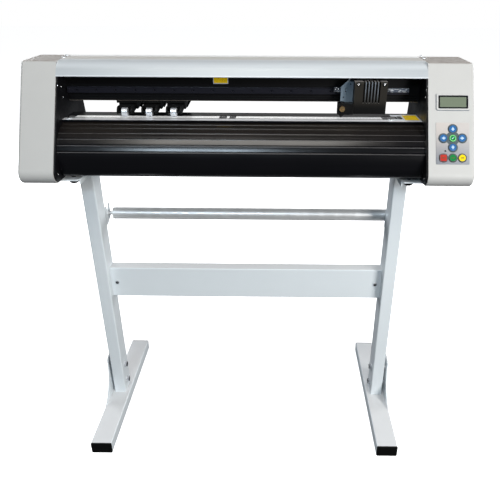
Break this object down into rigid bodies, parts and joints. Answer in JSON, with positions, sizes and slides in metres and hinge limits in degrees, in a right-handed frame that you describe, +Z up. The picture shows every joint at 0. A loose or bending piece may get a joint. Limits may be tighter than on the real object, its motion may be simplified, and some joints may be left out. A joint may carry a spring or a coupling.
{
  "type": "vinyl cutter",
  "caption": "Floor-standing roll vinyl cutter: a knife carriage on a beam over a platen, pinch wheels, drive shaft, keypad end cap, media roller and tube stand.",
  "frame": {"origin": "middle of the whole machine in plan, on the floor", "axes": "+X to the right as seen from the front, along the beam; +Y towards the back, where the vinyl goes in; +Z up"},
  "size_m": [0.892, 0.416, 0.885],
  "materials": {
    "stand_paint": "fine satin powder coat",
    "cap_shell": "satin, light grey",
    "bright_aluminium": "satin anodised",
    "black_anodised": "black anodised, semi-gloss",
    "black_steel": "black satin paint",
    "black_plastic": "moulded, satin",
    "rail_steel": "blued steel rail",
    "bare_steel": "bright, lightly brushed",
    "bolt_steel": "zinc plated",
    "wheel_metal": "turned, grooved",
    "blue_steel": "blue-grey satin paint",
    "motor_steel": "dark satin",
    "brass": "knurled brass",
    "white_plastic": "moulded nylon",
    "white_strip": "smooth, white",
    "belt_rubber": "toothed belt",
    "circuit_board": "solder resist",
    "keypad_film": "brushed silver film",
    "display_glass": "grey-green display behind a clear window",
    "blue_key": "gloss blue",
    "green_key": "gloss green",
    "red_key": "gloss red",
    "yellow_key": "gloss yellow"
  },
  "bodies": {
    "root": {"leg_left": "stand_paint", "foot_left": "stand_paint", "side_plate_left": "black_steel", "end_cap_left": "cap_shell", "leg_right": "stand_paint", "foot_right": "stand_paint", "side_plate_right": "black_steel", "end_cap_right": "cap_shell", "foot_end_caps": "black_plastic", "crossbar": "stand_paint", "stand_bolts": "bolt_steel", "clamp_knobs": "black_plastic", "roller_brackets": "stand_paint", "top_cover": "bright_aluminium", "beam": "black_anodised", "guide_rail": "rail_steel", "platen": "black_anodised", "cutting_strip": "white_strip", "front_cover": "black_anodised", "rear_cover": "black_anodised", "base_tray": "black_steel", "pinch_bar": "bare_steel", "shaft_bearings": "bare_steel", "feed_motor": "motor_steel", "carriage_motor": "motor_steel", "carriage_belt": "belt_rubber", "keypad_panel": "keypad_film", "display": "display_glass", "control_board": "circuit_board", "power_supply": "motor_steel", "power_inlet": "black_plastic"},
    "media_roller": {"media_roller": "bare_steel"},
    "drive_shaft": {"grit_shaft": "bare_steel", "feed_gear": "white_plastic"},
    "feed_pinion": {"feed_pinion": "brass"},
    "carriage": {"carriage_plate": "blue_steel", "carriage_cover": "black_plastic"},
    "drive_pulley": {"drive_pulley": "bright_aluminium"},
    "idler_pulley": {"idler_pulley": "bright_aluminium"},
    "tool": {"tool_clamp": "black_plastic", "blade_holder": "black_anodised"},
    "tool_screw": {"tool_screw": "brass"},
    "pinch_bracket_1": {"pinch_bracket_1": "black_plastic"},
    "pinch_arm_1": {"pinch_arm_1": "black_plastic"},
    "pinch_wheel_1": {"pinch_wheel_1": "wheel_metal"},
    "pinch_bracket_2": {"pinch_bracket_2": "black_plastic"},
    "pinch_arm_2": {"pinch_arm_2": "black_plastic"},
    "pinch_wheel_2": {"pinch_wheel_2": "wheel_metal"},
    "pinch_bracket_3": {"pinch_bracket_3": "black_plastic"},
    "pinch_arm_3": {"pinch_arm_3": "black_plastic"},
    "pinch_wheel_3": {"pinch_wheel_3": "wheel_metal"},
    "arrow_up_button": {"arrow_up_button": "blue_key"},
    "arrow_left_button": {"arrow_left_button": "blue_key"},
    "arrow_right_button": {"arrow_right_button": "blue_key"},
    "arrow_down_button": {"arrow_down_button": "blue_key"},
    "enter_button": {"enter_button": "green_key"},
    "stop_button": {"stop_button": "red_key"},
    "start_button": {"start_button": "green_key"},
    "menu_button": {"menu_button": "yellow_key"},
    "power_switch": {"power_switch": "red_key"}
  },
  "joints": [
    {"name": "media_roller_spin", "type": "hinge", "parent": "root", "child": "media_roller", "pos_m": [0, 0.044, 0.527], "axis": [1, 0, 0], "continuous": true},
    {"name": "drive_shaft_spin", "type": "hinge", "parent": "root", "child": "drive_shaft", "pos_m": [0, -0.03, 0.765], "axis": [1, 0, 0], "continuous": true},
    {"name": "feed_pinion_spin", "type": "hinge", "parent": "root", "child": "feed_pinion", "pos_m": [0.365, 0.00016, 0.74238], "axis": [1, 0, 0], "continuous": true},
    {"name": "carriage_slide", "type": "slide", "parent": "root", "child": "carriage", "axis": [1, 0, 0], "range_m": [-0.545, 0.068]},
    {"name": "drive_pulley_turn", "type": "hinge", "parent": "root", "child": "drive_pulley", "pos_m": [0.385, -0.003, 0.855], "axis": [0, 0, 1], "range_deg": [-2980, 375]},
    {"name": "idler_pulley_turn", "type": "hinge", "parent": "root", "child": "idler_pulley", "pos_m": [-0.398, -0.003, 0.855], "axis": [0, 0, 1], "range_deg": [-2980, 375]},
    {"name": "tool_slide", "type": "slide", "parent": "carriage", "child": "tool", "axis": [0, 0, -1], "range_m": [0, 0.003], "stiffness_N_per_m": 400, "springref_m": -0.01},
    {"name": "tool_screw_turn", "type": "hinge", "parent": "tool", "child": "tool_screw", "pos_m": [0.1905, -0.06, 0.8], "axis": [0, -1, 0], "range_deg": [-360, 0]},
    {"name": "pinch_1_slide", "type": "slide", "parent": "root", "child": "pinch_bracket_1", "axis": [1, 0, 0], "range_m": [-0.095, 0.004]},
    {"name": "pinch_1_lift", "type": "hinge", "parent": "pinch_bracket_1", "child": "pinch_arm_1", "pos_m": [-0.253, 0.008, 0.79], "axis": [-1, 0, 0], "range_deg": [0, 10], "stiffness_Nm_per_rad": 1, "springref_deg": -11.46},
    {"name": "pinch_1_spin", "type": "hinge", "parent": "pinch_arm_1", "child": "pinch_wheel_1", "pos_m": [-0.253, -0.03, 0.7849], "axis": [1, 0, 0], "continuous": true},
    {"name": "pinch_2_slide", "type": "slide", "parent": "root", "child": "pinch_bracket_2", "axis": [1, 0, 0], "range_m": [-0.004, 0.004]},
    {"name": "pinch_2_lift", "type": "hinge", "parent": "pinch_bracket_2", "child": "pinch_arm_2", "pos_m": [-0.2025, 0.008, 0.79], "axis": [-1, 0, 0], "range_deg": [0, 10], "stiffness_Nm_per_rad": 1, "springref_deg": -11.46},
    {"name": "pinch_2_spin", "type": "hinge", "parent": "pinch_arm_2", "child": "pinch_wheel_2", "pos_m": [-0.2025, -0.03, 0.7849], "axis": [1, 0, 0], "continuous": true},
    {"name": "pinch_3_slide", "type": "slide", "parent": "root", "child": "pinch_bracket_3", "axis": [1, 0, 0], "range_m": [-0.004, 0.39]},
    {"name": "pinch_3_lift", "type": "hinge", "parent": "pinch_bracket_3", "child": "pinch_arm_3", "pos_m": [-0.152, 0.008, 0.79], "axis": [-1, 0, 0], "range_deg": [0, 10], "stiffness_Nm_per_rad": 1, "springref_deg": -11.46},
    {"name": "pinch_3_spin", "type": "hinge", "parent": "pinch_arm_3", "child": "pinch_wheel_3", "pos_m": [-0.152, -0.03, 0.7849], "axis": [1, 0, 0], "continuous": true},
    {"name": "arrow_up_press", "type": "slide", "parent": "root", "child": "arrow_up_button", "axis": [0, 0.8678, -0.497], "range_m": [0, 0.0006], "stiffness_N_per_m": 900},
    {"name": "arrow_left_press", "type": "slide", "parent": "root", "child": "arrow_left_button", "axis": [0, 0.8678, -0.497], "range_m": [0, 0.0006], "stiffness_N_per_m": 900},
    {"name": "arrow_right_press", "type": "slide", "parent": "root", "child": "arrow_right_button", "axis": [0, 0.8678, -0.497], "range_m": [0, 0.0006], "stiffness_N_per_m": 900},
    {"name": "arrow_down_press", "type": "slide", "parent": "root", "child": "arrow_down_button", "axis": [0, 0.8678, -0.497], "range_m": [0, 0.0006], "stiffness_N_per_m": 900},
    {"name": "enter_press", "type": "slide", "parent": "root", "child": "enter_button", "axis": [0, 0.8678, -0.497], "range_m": [0, 0.0006], "stiffness_N_per_m": 900},
    {"name": "stop_press", "type": "slide", "parent": "root", "child": "stop_button", "axis": [0, 0.8678, -0.497], "range_m": [0, 0.0006], "stiffness_N_per_m": 900},
    {"name": "start_press", "type": "slide", "parent": "root", "child": "start_button", "axis": [0, 0.8678, -0.497], "range_m": [0, 0.0006], "stiffness_N_per_m": 900},
    {"name": "menu_press", "type": "slide", "parent": "root", "child": "menu_button", "axis": [0, 0.8678, -0.497], "range_m": [0, 0.0006], "stiffness_N_per_m": 900},
    {"name": "power_switch_tip", "type": "hinge", "parent": "root", "child": "power_switch", "pos_m": [-0.411, 0.08189, 0.74062], "axis": [1, 0, 0], "range_deg": [0, 15]}
  ],
  "couplings": [
    {"joint": "feed_pinion_spin", "follows": "drive_shaft_spin", "ratio": -4},
    {"joint": "drive_pulley_turn", "follows": "carriage_slide", "rad_per_m": 95.2},
    {"joint": "idler_pulley_turn", "follows": "carriage_slide", "rad_per_m": 95.2}
  ]
}
